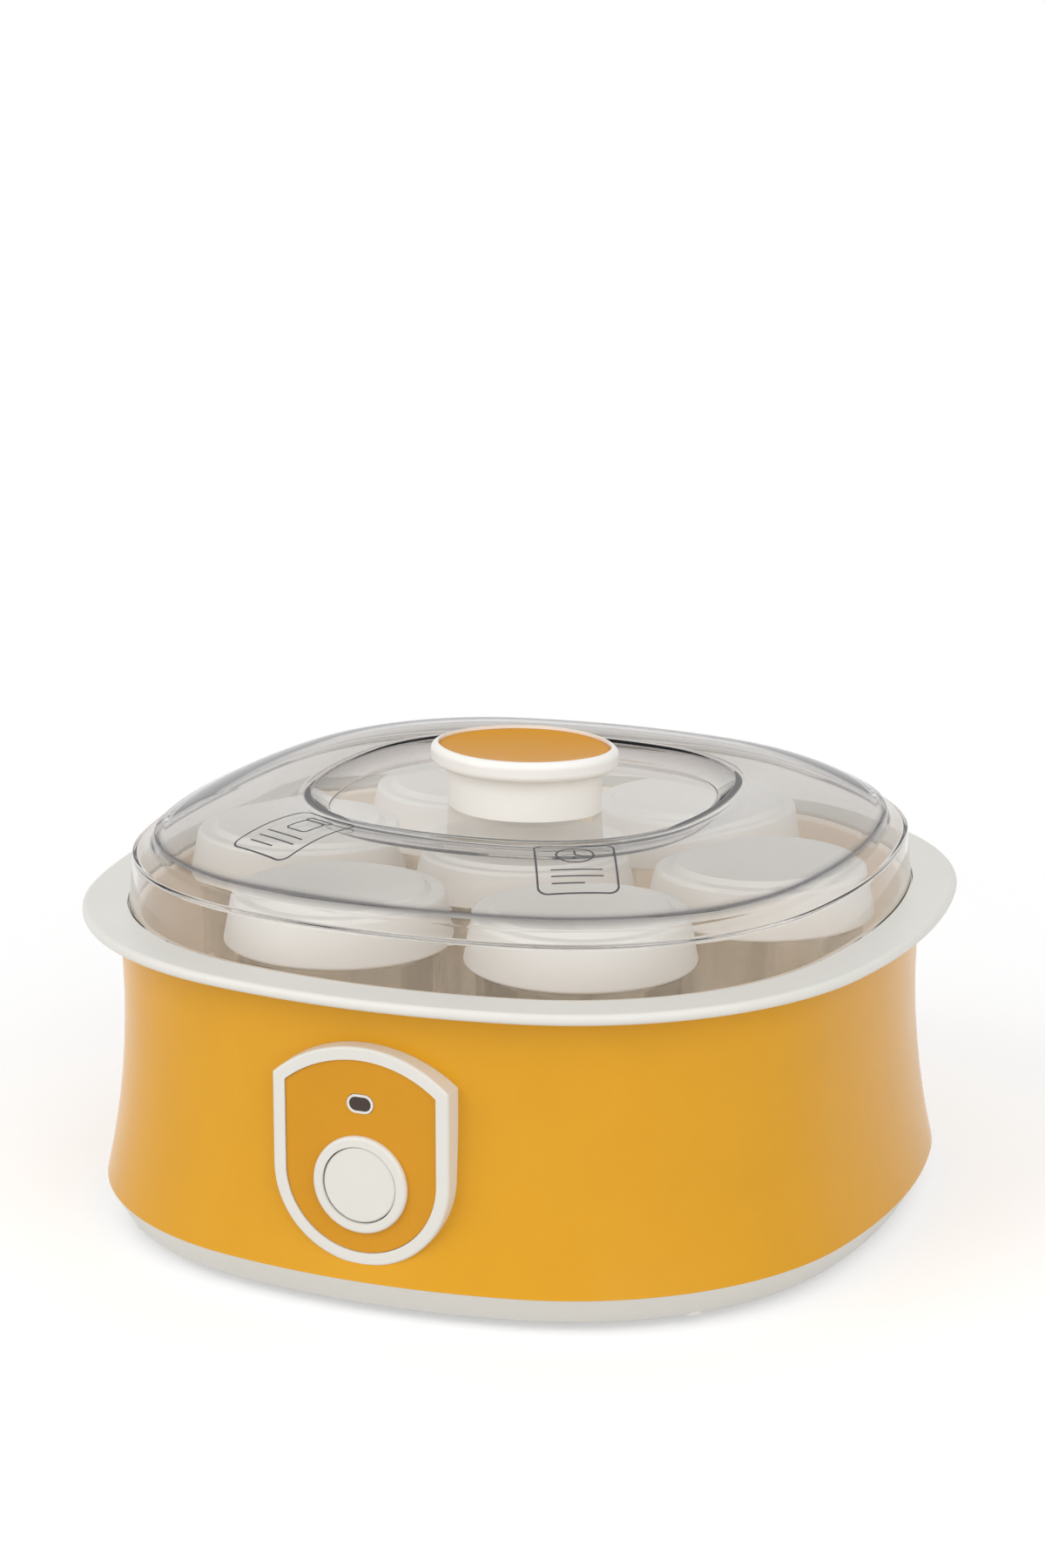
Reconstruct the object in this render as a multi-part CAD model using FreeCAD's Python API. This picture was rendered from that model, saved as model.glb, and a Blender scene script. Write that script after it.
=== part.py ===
"""Yogurt maker: a bowed-square heated tub with seven capped jars under a clear lift-off lid.

Millimetres, +Z up. The origin is on the table, under the middle of the tub.
The control panel is on the front, which faces -Y.
"""
import FreeCAD, Part
import math
import os

os.makedirs("parts", exist_ok=True)
V = FreeCAD.Vector
UP = V(0, 0, 1)
IN = V(0, 1, 0)

# Shape of the plan outline, given for the drawn-in waist of the body
corner_radius = 89.0
side_bow = 213.5

# Clearances
seat_gap = 0.1
slide_gap = 0.3
screw_gap = 0.05

# Overshoot of cutting tools
over = 1.0

# Jars: one in the middle and a ring of six, turned a little as they were put in
jar_radius = 32.0
jar_height = 74.9
jar_wall = 2.2
jar_floor = 4.0
jar_foot_round = 4.0
jar_lip_round = 0.7
neck_inset = 1.2
neck_height = 13.2
ring_count = 6
ring_turn = 5.0

# Jar caps
cap_wall = 2.8
cap_top = 2.0
cap_fit = 0.4
cap_skirt = 13.0
cap_round = 3.2
cap_edge_round = 0.7
cap_spacing = 7.0

# Tub that holds the jars
tub_clearance = 2.4
tub_draft = 2.2
tub_wall = 1.2
tub_floor_round = 5.0
jar_reveal = 12.5
under_floor = 22.2

# Rim round the top of the tub
rim_ledge = 3.0
rim_ledge_depth = 2.2
rim_overhang = 10.7
rim_thickness = 3.4
rim_round = 1.6
rim_plug_wall = 3.0
rim_plug_depth = 7.6
tub_to_rim = 0.5

# Outer shell
shell_wall = 2.2
shell_fit = 0.8
waist_inset = 1.3
flare_out = 6.5
waist_share = 0.6

# Base pan, feet and base screws
foot_height = 3.0
foot_radius = 8.0
foot_taper = 1.0
foot_plug_radius = 3.0
foot_inset = 26.0
pan_height = 9.0
pan_floor = 2.5
pan_tuck = 5.5
pan_step = 0.2
pan_lip_wall = 2.2
pan_lip_height = 6.0
pan_round = 1.5
boss_radius = 4.5
boss_height = 13.0
boss_bite = 1.0
base_screw_radius = 1.5
base_screw_grip = 9.0
screw_head_radius = 3.0
screw_head_height = 2.0

# Front panel: a round-bottomed shield
panel_half = 27.5
panel_low_margin = 4.7
panel_top_margin = 12.8
panel_top_radius = 40.7
panel_stand = 5.5
bezel_width = 4.0
bezel_round = 0.9
plate_thickness = 2.0
plate_recess = 0.6
plate_fit = 0.15
plate_ledge = 2.0
spigot_wall = 1.2
spigot_depth = 8.0

# Push button, its collar and its switch
button_radius = 11.3
button_up = 24.7
button_travel = 1.5
button_proud = 1.2
button_round = 0.6
button_skin = 2.5
button_lip = 1.1
button_stem_radius = 2.8
collar_wall = 1.6
collar_flange = 1.4
collar_proud = 1.7
collar_depth = 4.3
collar_round = 1.0
plunger_radius = 2.0
switch_side = 10.0
switch_height = 3.1

# Indicator window and lamp
lens_half_width = 3.4
lens_half_height = 2.1
lens_border = 0.7
lens_proud = 0.3
lens_rise = 7.5
lamp_radius = 2.5
lamp_flange = 0.4
lamp_flange_thickness = 0.8

# Control board
board_thickness = 1.6
board_margin = 6.0
board_top_margin = 4.0
board_screw_radius = 0.85
board_screw_grip = 5.0
board_head_radius = 1.5
board_head_height = 1.2

# Heater under the floor of the tub
heater_plate_radius = 85.0
heater_plate_thickness = 1.5
element_ring_radius = 58.0
element_radius = 3.2
element_gap_angle = 40.0
pin_length = 6.4
pin_root = 3.2
clamp_count = 3
clamp_first = 30.0
clamp_width = 9.0
clamp_lip = 2.0
clamp_screw_offset = 9.0
clamp_screw_radius = 1.5
clamp_screw_grip = 5.0
stud_radius = 3.4
stud_length = 5.0
thermostat_radius = 8.0
thermostat_height = 8.0
thermostat_tab_half = 15.0
thermostat_tab = 1.2
thermostat_screw_at = 12.0
thermostat_offset = 24.0
blade_thickness = 0.8
blade_length = 4.0

# Mains inlet and terminal block at the back
gland_bore_radius = 3.4
gland_wall = 2.1
gland_flange = 2.0
gland_flange_thickness = 2.4
gland_depth = 7.0
gland_rise = 13.0
block_length = 34.0
block_width = 14.0
block_height = 11.0
block_setback = 22.0
block_boss_radius = 3.2
block_boss_height = 4.0
way_count = 4
way_rise = 6.4
way_depth = 4.0
lead_radius = 1.1
lead_spacing = 9.0
lead_bend = 4.0
lead_drop = 10.0

# Lid
lid_wall = 2.0
lid_fit = 0.5
lid_skirt_draft = 0.2
lid_headroom = 4.4
lid_shoulder_round = 2.4
shoulder_width = 6.7
shoulder_rise = 1.4
riser_height = 3.0
riser_draft = 1.5
dome_rise = 9.5
dome_bulge = 4.4
dome_steps = 8
bend_steps = 4
dish_half = 62.7
dish_depth = 6.7
dish_draft = 4.2

# Knob
knob_half_length = 29.7
knob_half_width = 25.0
knob_end_radius = 19.5
knob_thickness = 6.5
knob_round = 2.2
stem_inset = 5.2
stem_height = 13.2
stem_wall = 3.0
knob_lip = 2.2
inset_thickness = 1.4
inset_recess = 0.8
knob_screw_at = 13.0
knob_screw_radius = 1.5
knob_screw_grip = 9.0

# Plan sizes that follow from the jars outwards
neck_radius = jar_radius - neck_inset
cap_radius = neck_radius + cap_fit + cap_wall
jar_pitch = 2 * cap_radius + cap_spacing
tub_floor_half = jar_pitch + max(jar_radius, cap_radius - tub_draft) + tub_clearance
tub_top_half = tub_floor_half + tub_draft
rim_bore_half = tub_top_half + tub_wall + tub_to_rim
rim_seat_half = rim_bore_half + rim_ledge
shell_top_half = rim_bore_half + rim_plug_wall + shell_fit + shell_wall
waist_half = shell_top_half - waist_inset
flare_half = waist_half + flare_out
rim_half = shell_top_half + rim_overhang

# Heights that follow from the table upwards
pan_bottom_z = foot_height
pan_floor_z = pan_bottom_z + pan_floor
shell_bottom_z = pan_bottom_z + pan_height
tub_floor_z = shell_bottom_z + under_floor
tub_under_z = tub_floor_z - tub_wall
jar_bottom_z = tub_floor_z + seat_gap
jar_top_z = jar_bottom_z + jar_height
cap_under_z = jar_top_z + seat_gap
cap_top_z = cap_under_z + cap_top
cap_bottom_z = cap_under_z - cap_skirt
rim_ledge_z = jar_top_z - jar_reveal
rim_top_z = rim_ledge_z + rim_ledge_depth
rim_under_z = rim_top_z - rim_thickness
shell_top_z = rim_under_z - seat_gap
waist_z = shell_bottom_z + waist_share * (shell_top_z - shell_bottom_z)
tub_flange_z = rim_ledge_z + seat_gap + tub_wall
lid_bottom_z = tub_flange_z + seat_gap
shoulder_z = cap_top_z + lid_headroom
riser_z = shoulder_z + shoulder_rise
plateau_z = riser_z + riser_height
dish_edge_z = plateau_z + dome_rise
dish_floor_z = dish_edge_z - dish_depth
stem_bottom_z = dish_floor_z + seat_gap
knob_under_z = stem_bottom_z + stem_height
knob_top_z = knob_under_z + knob_thickness

# Sizes of the lid's and the dish's outlines
skirt_half = rim_seat_half - lid_fit
shoulder_half = skirt_half - lid_skirt_draft
riser_half = shoulder_half - shoulder_width
plateau_half = riser_half - riser_draft
dish_floor_half = dish_half - dish_draft

# Places of the front panel's pieces, as distances from the axis towards the front
panel_face = waist_half + panel_stand
plate_front = panel_face - plate_recess
plate_back = plate_front - plate_thickness
spigot_back = panel_face - spigot_depth
board_front = spigot_back - seat_gap
board_back = board_front - board_thickness
collar_back = plate_front - collar_depth
switch_face = board_front + seat_gap + switch_height
panel_low_z = shell_bottom_z + panel_low_margin
panel_top_z = shell_top_z - panel_top_margin
button_z = panel_low_z + button_up
collar_bore = button_radius + slide_gap
collar_radius = collar_bore + collar_wall
collar_flange_radius = collar_radius + collar_flange
lens_z = button_z + collar_flange_radius + lens_rise + lens_half_height
plate_half = panel_half - bezel_width


def turned(count, first=0.0):
    """Angles of an even ring, in degrees."""
    return [first + index * 360.0 / count for index in range(count)]


def polar(radius, angle, z=0.0):
    """Point at a radius and an angle in degrees, at height z."""
    return V(radius * math.cos(math.radians(angle)), radius * math.sin(math.radians(angle)), z)


def bowed_centres(half, corner, bow):
    """Reach of the side arcs' centres, of the corner arcs' centres, and the angle where they join."""
    back = bow - half
    reach = (math.sqrt(2 * (bow - corner) ** 2 - back ** 2) - back) / 2
    return back, reach, math.degrees(math.atan2(reach, reach + back))


def bowed_arcs(half, corner, bow):
    """The eight arcs of a bowed square as (centre, radius, start angle, end angle)."""
    back, reach, joint = bowed_centres(half, corner, bow)
    arcs = []
    for quarter in turned(4):
        arcs.append((polar(back, quarter + 180), bow, quarter - joint, quarter + joint))
        centre = polar(reach * math.sqrt(2), quarter + 45)
        arcs.append((centre, corner, quarter + joint, quarter + 90 - joint))
    return arcs


def arc_edge(centre, radius, start, end, z):
    """Edge of an arc about a vertical axis."""
    points = [centre + polar(radius, angle, z) for angle in (start, (start + end) / 2, end)]
    return Part.Arc(*points).toShape()


def bowed_wire(half, corner, bow, z):
    """Closed bowed square at height z."""
    return Part.Wire([arc_edge(*arc, z) for arc in bowed_arcs(half, corner, bow)])


def outline(half, z):
    """The body's plan outline, grown or shrunk evenly to the given half width."""
    grow = half - waist_half
    return bowed_wire(half, corner_radius + grow, side_bow + grow, z)


def similar(half, z):
    """The body's plan outline, scaled to the given half width."""
    share = half / waist_half
    return bowed_wire(half, corner_radius * share, side_bow * share, z)


def diagonal(half):
    """Distance from the axis to the outline's corner."""
    grow = half - waist_half
    back, reach, joint = bowed_centres(half, corner_radius + grow, side_bow + grow)
    return reach * math.sqrt(2) + corner_radius + grow


def slab(wire, height):
    """Solid of a flat closed wire, raised by a height."""
    return Part.Face(wire).extrude(UP * height)


def stack(wires):
    """Solid through closed wires, with straight sides from each to the next."""
    return Part.makeLoft(wires, True, True)


def rounded_path(points, radii, closed):
    """Wire through points in space, with a tangent arc at each corner that has a radius."""
    legs = []
    arcs = []
    for index, here in enumerate(points):
        radius = radii[index]
        if radius == 0:
            legs.append((here, here))
            arcs.append(None)
            continue
        before = (points[index - 1] - here).normalize()
        after = (points[(index + 1) % len(points)] - here).normalize()
        half_angle = before.getAngle(after) / 2
        cut = radius / math.tan(half_angle)
        inward = (before + after).normalize()
        middle = here + inward * (radius / math.sin(half_angle) - radius)
        legs.append((here + before * cut, here + after * cut))
        arcs.append(middle)
    edges = []
    for index, (start, end) in enumerate(legs):
        if arcs[index]:
            edges.append(Part.Arc(start, arcs[index], end).toShape())
        if closed or index + 1 < len(legs):
            edges.append(Part.LineSegment(end, legs[(index + 1) % len(legs)][0]).toShape())
    return Part.Wire(edges)


def rounded_profile(corners):
    """Closed wire in the XZ plane through (x, z, radius) corners."""
    return rounded_path([V(x, 0, z) for x, z, radius in corners], [corner[2] for corner in corners], True)


def turned_solid(corners):
    """Solid of revolution about the Z axis from a rounded profile."""
    return Part.Face(rounded_profile(corners)).revolve(V(0, 0, 0), UP, 360)


def round_ring(profile):
    """Ring that follows the body's plan outline, from a closed profile drawn at the half width."""
    face = Part.Face(profile)
    spans = []
    for centre, radius, start, end in bowed_arcs(waist_half, corner_radius, side_bow):
        section = face.copy()
        section.translate(V(radius - waist_half, 0, 0))
        section.rotate(V(0, 0, 0), UP, start)
        span = section.revolve(V(0, 0, 0), UP, end - start)
        span.translate(centre)
        spans.append(span)
    return spans[0].multiFuse(spans[1:]).removeSplitter()


def rod(radius, start, end):
    """Round bar from one point to another."""
    along = end - start
    return Part.makeCylinder(radius, along.Length, start, along)


def block(low, high):
    """Box between two opposite corners."""
    size = high - low
    return Part.makeBox(size.x, size.y, size.z, low)


def group(solids):
    """Several separate solids as one shape."""
    return Part.makeCompound(solids)


def screw(radius, length, head_radius, head_height, seat, direction):
    """Screw whose head rests on the seat point and whose shank points along the direction."""
    shank = rod(radius, seat, seat + direction * length)
    return rod(head_radius, seat - direction * head_height, seat).fuse(shank).removeSplitter()


def shell_profile(grow=0.0):
    """Edge of the shell in the XZ plane: top, waist and foot on one arc, moved outwards by grow."""
    top = V(shell_top_half + grow, 0, shell_top_z)
    waist = V(waist_half + grow, 0, waist_z)
    foot = V(flare_half + grow, 0, shell_bottom_z)
    return Part.Arc(top, waist, foot)


def shell_half(z):
    """Half width of the shell's outside at a height."""
    circle = shell_profile().toShape().Curve
    drop = z - circle.Center.z
    return circle.Center.x - math.sqrt(circle.Radius ** 2 - drop ** 2)


def shell_band(outer_grow, inner_grow):
    """Ring between the shell's edge moved by two amounts."""
    outside = shell_profile(outer_grow)
    inside = shell_profile(inner_grow)
    edges = [
        outside.toShape(),
        Part.LineSegment(outside.EndPoint, inside.EndPoint).toShape(),
        inside.toShape(),
        Part.LineSegment(inside.StartPoint, outside.StartPoint).toShape(),
    ]
    return round_ring(Part.Wire(Part.__sortEdges__(edges)))


def shield_wire(grow):
    """Outline of the front panel in the XZ plane, grown evenly: round foot, straight sides, arched top."""
    half = panel_half + grow
    foot_centre_z = panel_low_z + panel_half
    arch_radius = panel_top_radius + grow
    arch_centre_z = panel_top_z - panel_top_radius
    side_z = arch_centre_z + math.sqrt(arch_radius ** 2 - half ** 2)
    left_low = V(-half, 0, foot_centre_z)
    right_low = V(half, 0, foot_centre_z)
    left_high = V(-half, 0, side_z)
    right_high = V(half, 0, side_z)
    edges = [
        Part.Arc(left_low, V(0, 0, foot_centre_z - half), right_low).toShape(),
        Part.LineSegment(right_low, right_high).toShape(),
        Part.Arc(right_high, V(0, 0, arch_centre_z + arch_radius), left_high).toShape(),
        Part.LineSegment(left_high, left_low).toShape(),
    ]
    return Part.Wire(edges)


def shield(grow, front, back):
    """Solid of the panel's outline between two distances from the axis."""
    face = Part.Face(shield_wire(grow))
    face.translate(V(0, -front, 0))
    return face.extrude(IN * (front - back))


def stadium(half_width, half_height, front, back, z):
    """Solid with a level stadium outline, facing the front."""
    flat = half_width - half_height
    middle = block(V(-flat, -front, z - half_height), V(flat, -back, z + half_height))
    ends = [rod(half_height, V(side * flat, -front, z), V(side * flat, -back, z)) for side in (-1, 1)]
    return middle.multiFuse(ends).removeSplitter()


def front_rod(radius, front, back, z, x=0.0):
    """Round bar along the front-to-back direction."""
    return rod(radius, V(x, -front, z), V(x, -back, z))


def oval(half_length, half_width, end_radius, z):
    """Closed oval of four arcs at height z."""
    end_at = half_length - end_radius
    side_radius = (half_width ** 2 + end_at ** 2 - end_radius ** 2) / (2 * (half_width - end_radius))
    joint = math.degrees(math.atan2(side_radius - half_width, end_at))
    edges = []
    for side in (0, 180):
        edges.append(arc_edge(polar(end_at, side), end_radius, side - joint, side + joint, z))
        centre = polar(side_radius - half_width, side - 90)
        edges.append(arc_edge(centre, side_radius, side + joint, side + 180 - joint, z))
    return Part.Wire(edges)


def knob_oval(inset, z):
    """The knob's outline, shrunk evenly."""
    return oval(knob_half_length - inset, knob_half_width - inset, knob_end_radius - inset, z)


def jar_places():
    """Axis of each jar: the middle one, then the ring."""
    return [V(0, 0, 0)] + [polar(jar_pitch, angle) for angle in turned(ring_count, ring_turn)]


def corner_places(reach):
    """Points on the four diagonals of the plan."""
    return [polar(reach, angle) for angle in turned(4, 45)]


def boss_reach():
    """Distance from the axis to each screw boss of the shell."""
    inside = shell_half(shell_bottom_z + pan_lip_height + boss_height) - shell_wall
    return diagonal(inside) - boss_radius + boss_bite


def foot_places():
    """Centres of the four feet."""
    return corner_places(diagonal(flare_half - pan_tuck) - foot_inset)


def make_rubber_feet():
    """Round pads, each with a plug pushed up into the pan."""
    feet = []
    for place in foot_places():
        pad = turned_solid([
            (0, 0, 0),
            (foot_radius - foot_taper, 0, 0),
            (foot_radius, foot_height, 0),
            (foot_plug_radius, foot_height, 0),
            (foot_plug_radius, pan_floor_z, 0),
            (0, pan_floor_z, 0),
        ])
        pad.translate(place)
        feet.append(pad)
    return group(feet)


def make_base_pan():
    """Bottom cover with a tucked-in edge, a lip inside the shell and towers for the base screws."""
    bottom_half = flare_half - pan_tuck
    top_half = flare_half - pan_step
    lip_top_z = shell_bottom_z + pan_lip_height
    lip_half = shell_half(lip_top_z) - shell_wall - slide_gap
    lip_inner = lip_half - pan_lip_wall
    floor_half = min(bottom_half, lip_inner) - pan_lip_wall
    edge = round_ring(rounded_profile([
        (floor_half, pan_bottom_z, 0),
        (bottom_half, pan_bottom_z, pan_round),
        (top_half, shell_bottom_z - seat_gap, 0),
        (lip_half, shell_bottom_z - seat_gap, 0),
        (lip_half, lip_top_z, 0),
        (lip_inner, lip_top_z, 0),
        (lip_inner, shell_bottom_z - seat_gap, 0),
        (floor_half, pan_floor_z, 0),
    ]))
    pan = edge.fuse(slab(outline(floor_half, pan_bottom_z), pan_floor)).removeSplitter()
    for place in corner_places(boss_reach()):
        pan = pan.fuse(rod(boss_radius, place + UP * pan_bottom_z, place + UP * lip_top_z))
    boss_foot = block_place() + UP * pan_bottom_z
    boss_top = block_place() + UP * (pan_floor_z + block_boss_height)
    pan = pan.fuse(rod(block_boss_radius, boss_foot, boss_top))
    for place in corner_places(boss_reach()):
        pan = pan.cut(rod(base_screw_radius + slide_gap, place, place + UP * (lip_top_z + over)))
        pan = pan.cut(rod(screw_head_radius + slide_gap, place, place + UP * (pan_floor_z + seat_gap)))
    for place in foot_places():
        pan = pan.cut(rod(foot_plug_radius + screw_gap, place, place + UP * (pan_floor_z + over)))
    pilot_foot = block_place() + UP * pan_floor_z
    return pan.cut(rod(clamp_screw_radius + screw_gap, pilot_foot, boss_top + UP * over)).removeSplitter()


def make_base_screws():
    """Screws up through the pan's towers into the shell's bosses."""
    length = shell_bottom_z + pan_lip_height + base_screw_grip - pan_floor_z
    seats = [place + UP * pan_floor_z for place in corner_places(boss_reach())]
    return group([
        screw(base_screw_radius, length, screw_head_radius, screw_head_height, seat, UP)
        for seat in seats
    ])


def make_body_shell():
    """Outer wall with screw bosses, the panel's window and the gland's hole."""
    shell = shell_band(0, -shell_wall)
    boss_low = shell_bottom_z + pan_lip_height + slide_gap
    boss_high = shell_bottom_z + pan_lip_height + boss_height
    for place in corner_places(boss_reach()):
        shell = shell.fuse(rod(boss_radius, place + UP * boss_low, place + UP * boss_high))
    for place in corner_places(boss_reach()):
        pilot = rod(base_screw_radius + screw_gap, place, place + UP * (boss_low + base_screw_grip + over))
        shell = shell.cut(pilot)
    window_grow = spigot_wall + slide_gap - bezel_width
    window = shield(window_grow, panel_face + panel_stand, spigot_back - panel_stand)
    gland_hole_radius = gland_bore_radius + gland_wall + slide_gap
    gland_hole = rod(gland_hole_radius, gland_place(-gland_depth), gland_place(gland_depth))
    return shell.cut(window).cut(gland_hole).removeSplitter()


def make_top_rim():
    """Flange round the top, with a ledge for the tub and a plug inside the shell."""
    plug_half = rim_bore_half + rim_plug_wall
    plug_z = rim_under_z - rim_plug_depth
    return round_ring(rounded_profile([
        (rim_half, rim_top_z, rim_round),
        (rim_seat_half, rim_top_z, 0),
        (rim_seat_half, rim_ledge_z, 0),
        (rim_bore_half, rim_ledge_z, 0),
        (rim_bore_half, plug_z, 0),
        (plug_half, plug_z, 0),
        (plug_half, rim_under_z, 0),
        (rim_half, rim_under_z, rim_round),
    ]))


def clamp_places():
    """Axes of the heater's clamp screws."""
    reach = element_ring_radius + clamp_screw_offset
    return [polar(reach, angle) for angle in turned(clamp_count, clamp_first)]


def thermostat_screw_places():
    """Axes of the thermostat's screws."""
    middle = V(0, -thermostat_offset, 0)
    return [middle + V(side * thermostat_screw_at, 0, 0) for side in (-1, 1)]


def make_well_liner():
    """Tub with a flange on the rim's ledge and studs under its floor."""
    flange_half = rim_seat_half - slide_gap
    flange_z = tub_flange_z - tub_wall
    wall = round_ring(rounded_profile([
        (flange_half, tub_flange_z, 0),
        (tub_top_half, tub_flange_z, tub_wall),
        (tub_floor_half, tub_floor_z, tub_floor_round),
        (tub_floor_half - tub_floor_round * 2, tub_floor_z, 0),
        (tub_floor_half - tub_floor_round * 2, tub_under_z, 0),
        (tub_floor_half + tub_wall, tub_under_z, tub_floor_round + tub_wall),
        (tub_top_half + tub_wall, flange_z, 0),
        (flange_half, flange_z, 0),
    ]))
    floor = slab(outline(tub_floor_half - tub_floor_round * 2, tub_under_z), tub_wall)
    tub = wall.fuse(floor).removeSplitter()
    for place in clamp_places() + thermostat_screw_places():
        tub = tub.fuse(rod(stud_radius, place + UP * (tub_under_z - stud_length), place + UP * tub_under_z))
    for place in clamp_places() + thermostat_screw_places():
        bottom = place + UP * (tub_under_z - stud_length)
        tub = tub.cut(rod(clamp_screw_radius + screw_gap, bottom, bottom + UP * stud_length))
    return tub


def make_heater_plate():
    """Aluminium disc under the tub's floor, with holes for the studs."""
    top = tub_under_z - seat_gap
    plate = rod(heater_plate_radius, UP * (top - heater_plate_thickness), UP * top)
    for place in clamp_places() + thermostat_screw_places():
        plate = plate.cut(rod(stud_radius + slide_gap, place, place + UP * tub_floor_z))
    return plate


def element_z():
    """Height of the heating element's middle line."""
    return tub_under_z - 2 * seat_gap - heater_plate_thickness - element_radius


def element_tube(grow):
    """The element's open ring, its tube grown by an amount."""
    circle = Part.Circle(V(element_ring_radius, 0, element_z()), IN, element_radius + grow)
    face = Part.Face(Part.Wire(circle.toShape()))
    ring = face.revolve(V(0, 0, 0), UP, 360 - element_gap_angle)
    ring.rotate(V(0, 0, 0), UP, 90 + element_gap_angle / 2)
    return ring


def make_heating_element():
    """Tubular heater bent into an open ring, with a pin at each end."""
    element = element_tube(0)
    for side in (-1, 1):
        tip, towards = pin_tip(side)
        element = element.fuse(rod(lead_radius, tip - towards * (pin_length + pin_root), tip))
    return element.removeSplitter()


def make_element_clamps():
    """Saddles that hold the element up against the heater plate."""
    top = element_z() + element_radius - clamp_lip
    low = element_z() - element_radius - clamp_lip
    clamps = []
    for angle, place in zip(turned(clamp_count, clamp_first), clamp_places()):
        near = element_ring_radius - element_radius - clamp_lip
        far = element_ring_radius + clamp_screw_offset + stud_radius + clamp_lip
        saddle = block(V(near, -clamp_width / 2, low), V(far, clamp_width / 2, top))
        saddle.rotate(V(0, 0, 0), UP, angle)
        saddle = saddle.cut(element_tube(seat_gap))
        stud_low = tub_under_z - stud_length - seat_gap
        saddle = saddle.cut(rod(stud_radius + slide_gap, place + UP * stud_low, place + UP * tub_floor_z))
        clamps.append(saddle.cut(rod(clamp_screw_radius + slide_gap, place, place + UP * tub_floor_z)))
    return group(clamps)


def make_clamp_screws():
    """Screws up through the saddles into the tub's studs."""
    seat_z = element_z() - element_radius - clamp_lip
    length = tub_under_z - stud_length - seat_z + clamp_screw_grip - tub_wall
    return group([
        screw(clamp_screw_radius, length, screw_head_radius, screw_head_height, place + UP * seat_z, UP)
        for place in clamp_places()
    ])


def thermostat_top():
    """Height of the thermostat's tab, which lies against the studs."""
    return tub_under_z - stud_length - seat_gap


def make_thermostat():
    """Disc thermostat on a tab, pressed to the heater plate, with two blades below."""
    middle = V(0, -thermostat_offset, 0)
    tab_top = thermostat_top()
    plate_low = tub_under_z - 2 * seat_gap - heater_plate_thickness
    tab = block(
        V(-thermostat_tab_half, -stud_radius, tab_top - thermostat_tab),
        V(thermostat_tab_half, stud_radius, tab_top),
    )
    cup = rod(thermostat_radius, UP * (tab_top - thermostat_height), UP * plate_low)
    for side in (-1, 1):
        hole = V(side * thermostat_screw_at, 0, 0)
        tab = tab.cut(rod(clamp_screw_radius + slide_gap, hole, hole + UP * tab_top))
        blade_x = side * thermostat_radius / 2
        cup_low = tab_top - thermostat_height
        blade_low = V(blade_x - blade_thickness / 2, -lead_radius, cup_low - blade_length)
        blade_high = V(blade_x + blade_thickness / 2, lead_radius, cup_low)
        cup = cup.fuse(block(blade_low, blade_high))
    return cup.fuse(tab).removeSplitter().translated(middle)


def make_thermostat_screws():
    """Screws up through the thermostat's tab into the tub's studs."""
    seat_z = thermostat_top() - thermostat_tab
    length = thermostat_tab + seat_gap + clamp_screw_grip - tub_wall
    return group([
        screw(clamp_screw_radius, length, screw_head_radius, screw_head_height, place + UP * seat_z, UP)
        for place in thermostat_screw_places()
    ])


def gland_place(inwards):
    """Point on the gland's axis at the rear wall, moved inwards."""
    z = shell_bottom_z + gland_rise
    return V(0, shell_half(z) - inwards, z)


def make_cord_gland():
    """Inlet bush in the rear wall, with a flange outside."""
    outer = gland_bore_radius + gland_wall
    front = gland_place(-gland_flange_thickness)
    flange = rod(outer + gland_flange, gland_place(gland_flange_thickness), front)
    flange = flange.cut(shell_band(seat_gap, -gland_depth))
    barrel = rod(outer, front, gland_place(gland_depth))
    bore = rod(gland_bore_radius, gland_place(-gland_depth), gland_place(2 * gland_depth))
    return flange.fuse(barrel).cut(bore).removeSplitter()


def block_place():
    """Middle of the terminal block on the pan's floor."""
    return V(0, flare_half - pan_tuck - block_setback, 0)


def make_terminal_block():
    """Terminal block over a boss of the pan, with wire ways along its length."""
    low_z = pan_floor_z + seat_gap
    middle = block_place()
    body = block(
        middle + V(-block_length / 2, -block_width / 2, low_z),
        middle + V(block_length / 2, block_width / 2, low_z + block_height),
    )
    boss_top = pan_floor_z + block_boss_height + seat_gap
    body = body.cut(rod(block_boss_radius + slide_gap, middle, middle + UP * boss_top))
    top = middle + UP * (low_z + block_height + over)
    body = body.cut(rod(clamp_screw_radius + slide_gap, middle, top))
    for pole in lead_poles():
        body = body.cut(rod(lead_radius + screw_gap, way_end(pole), way_end(pole) - IN * block_width))
        driver = way_end(pole) - IN * way_depth / 2
        body = body.cut(rod(lead_radius, driver, driver + UP * block_height))
    return body


def lead_poles():
    """Places of the terminal block's wire ways along its length."""
    return [(pole - (way_count - 1) / 2) * lead_spacing for pole in range(way_count)]


def way_end(pole):
    """Inner end of one of the terminal block's wire ways."""
    return block_place() + V(pole, way_depth - block_width / 2, pan_floor_z + seat_gap + way_rise)


def pin_tip(side):
    """End of one of the heating element's pins, and the direction it points in."""
    angle = 90 + side * element_gap_angle / 2
    towards = polar(1, angle - side * 90)
    return polar(element_ring_radius, angle, element_z()) + towards * pin_length, towards


def lead(points):
    """Insulated lead along a path with soft bends."""
    bends = [0] + [lead_bend] * (len(points) - 2) + [0]
    path = rounded_path(points, bends, False)
    ring = Part.Circle(points[0], points[1] - points[0], lead_radius).toShape()
    return path.makePipeShell([Part.Wire(ring)], True, True)


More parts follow.
